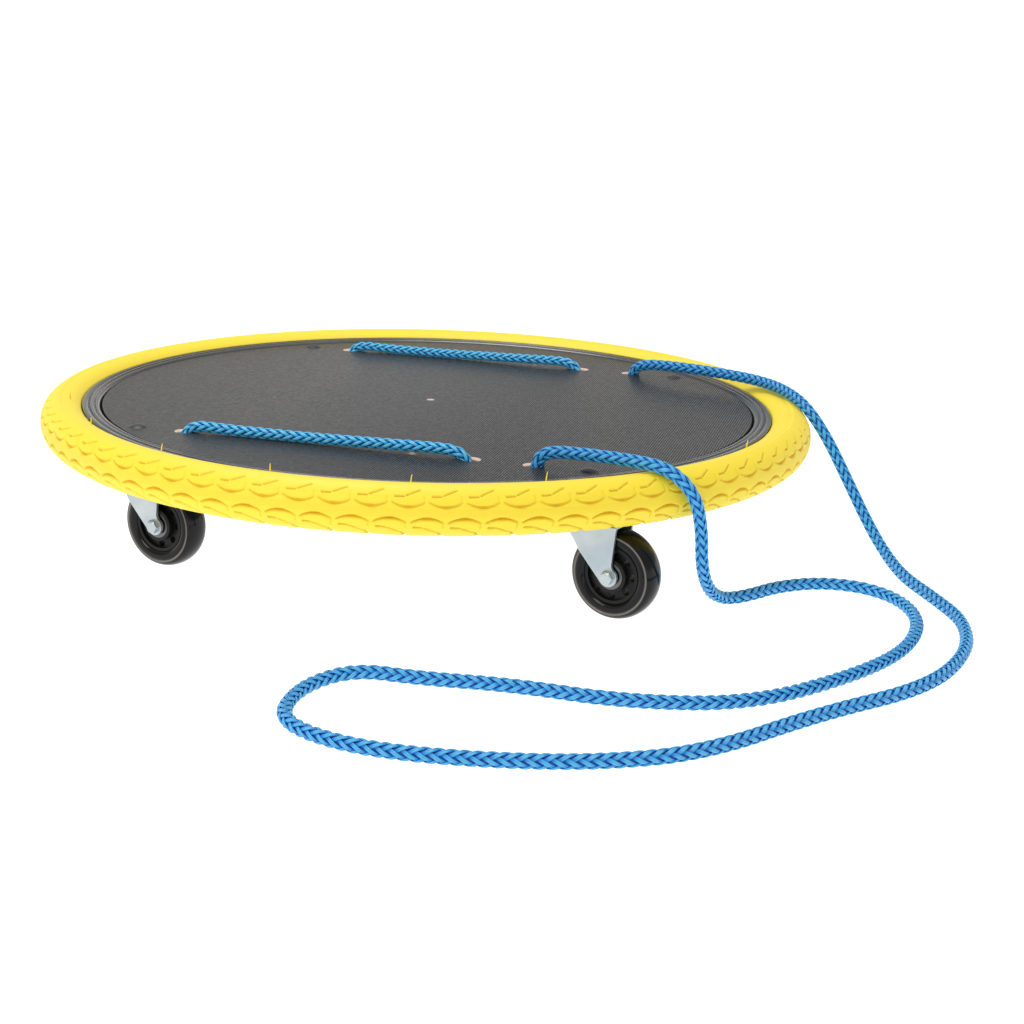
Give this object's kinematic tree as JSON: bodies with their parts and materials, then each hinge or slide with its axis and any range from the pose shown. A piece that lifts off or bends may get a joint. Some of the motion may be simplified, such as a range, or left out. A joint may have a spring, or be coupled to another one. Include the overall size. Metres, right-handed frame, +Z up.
{
  "type": "round roller board",
  "caption": "Round ride-on roller board: plywood deck in a bicycle rim and balloon tyre on swivel casters, with handle ropes and a long pull rope.",
  "frame": {"origin": "on the floor under the centre of the round deck, which is also the bottom centre of the board without its pull rope", "axes": "+Z up; +X the way the pull rope leaves; +Y to the left of that"},
  "size_m": [0.858, 0.8909, 0.137],
  "materials": {
    "tyre_yellow": "matt moulded rubber",
    "rim_black": "satin black",
    "plywood": "bare birch plywood with a film-faced underside",
    "deck_film": "dark phenolic film with a woven anti-slip mesh",
    "rope_blue": "glossy braided polypropylene",
    "zinc": "bright zinc plating",
    "bolt_black": "black oxide",
    "bearing_steel": "polished",
    "hub_black": "moulded",
    "wheel_smoke": "smoky translucent polyurethane",
    "tube_rubber": "plain"
  },
  "bodies": {
    "board": {"deck": "plywood", "deck_film": "deck_film", "rim": "rim_black", "rim_screws": "zinc", "tyre": "tyre_yellow", "inner_tube": "tube_rubber", "valve": "tube_rubber", "handle_rope_left": "rope_blue", "handle_rope_right": "rope_blue", "rope_knot": "rope_blue", "pull_rope": "rope_blue", "caster_top_race_front_left": "zinc", "swivel_bolt_front_left": "bolt_black", "swivel_nut_front_left": "zinc", "swivel_balls_front_left": "bearing_steel", "caster_top_race_front_right": "zinc", "swivel_bolt_front_right": "bolt_black", "swivel_nut_front_right": "zinc", "swivel_balls_front_right": "bearing_steel", "caster_top_race_rear_left": "zinc", "swivel_bolt_rear_left": "bolt_black", "swivel_nut_rear_left": "zinc", "swivel_balls_rear_left": "bearing_steel", "caster_top_race_rear_right": "zinc", "swivel_bolt_rear_right": "bolt_black", "swivel_nut_rear_right": "zinc", "swivel_balls_rear_right": "bearing_steel"},
    "fork_front_left": {"fork_front_left": "zinc", "axle_bolt_front_left": "zinc", "axle_nut_front_left": "zinc", "axle_sleeve_front_left": "bearing_steel"},
    "wheel_front_left": {"bearings_front_left": "bearing_steel", "wheel_hub_front_left": "hub_black", "wheel_tyre_front_left": "wheel_smoke"},
    "fork_front_right": {"fork_front_right": "zinc", "axle_bolt_front_right": "zinc", "axle_nut_front_right": "zinc", "axle_sleeve_front_right": "bearing_steel"},
    "wheel_front_right": {"bearings_front_right": "bearing_steel", "wheel_hub_front_right": "hub_black", "wheel_tyre_front_right": "wheel_smoke"},
    "fork_rear_left": {"fork_rear_left": "zinc", "axle_bolt_rear_left": "zinc", "axle_nut_rear_left": "zinc", "axle_sleeve_rear_left": "bearing_steel"},
    "wheel_rear_left": {"bearings_rear_left": "bearing_steel", "wheel_hub_rear_left": "hub_black", "wheel_tyre_rear_left": "wheel_smoke"},
    "fork_rear_right": {"fork_rear_right": "zinc", "axle_bolt_rear_right": "zinc", "axle_nut_rear_right": "zinc", "axle_sleeve_rear_right": "bearing_steel"},
    "wheel_rear_right": {"bearings_rear_right": "bearing_steel", "wheel_hub_rear_right": "hub_black", "wheel_tyre_rear_right": "wheel_smoke"}
  },
  "joints": [
    {"name": "swivel_front_left", "type": "hinge", "parent": "board", "child": "fork_front_left", "pos_m": [0.1965, 0.205, 0.084], "axis": [0, 0, 1], "continuous": true},
    {"name": "spin_front_left", "type": "hinge", "parent": "fork_front_left", "child": "wheel_front_left", "pos_m": [0.22487, 0.19897, 0.0375], "axis": [-0.2079, -0.9781, 0], "continuous": true},
    {"name": "swivel_front_right", "type": "hinge", "parent": "board", "child": "fork_front_right", "pos_m": [0.1965, -0.205, 0.084], "axis": [0, 0, 1], "continuous": true},
    {"name": "spin_front_right", "type": "hinge", "parent": "fork_front_right", "child": "wheel_front_right", "pos_m": [0.22438, -0.21299, 0.0375], "axis": [-0.2756, -0.9613, 0], "continuous": true},
    {"name": "swivel_rear_left", "type": "hinge", "parent": "board", "child": "fork_rear_left", "pos_m": [-0.1965, 0.205, 0.084], "axis": [0, 0, 1], "continuous": true},
    {"name": "spin_rear_left", "type": "hinge", "parent": "fork_rear_left", "child": "wheel_rear_left", "pos_m": [-0.16981, 0.19367, 0.0375], "axis": [-0.3907, -0.9205, 0], "continuous": true},
    {"name": "swivel_rear_right", "type": "hinge", "parent": "board", "child": "fork_rear_right", "pos_m": [-0.1965, -0.205, 0.084], "axis": [0, 0, 1], "continuous": true},
    {"name": "spin_rear_right", "type": "hinge", "parent": "fork_rear_right", "child": "wheel_rear_right", "pos_m": [-0.16849, -0.21251, 0.0375], "axis": [-0.2588, -0.9659, 0], "continuous": true}
  ]
}
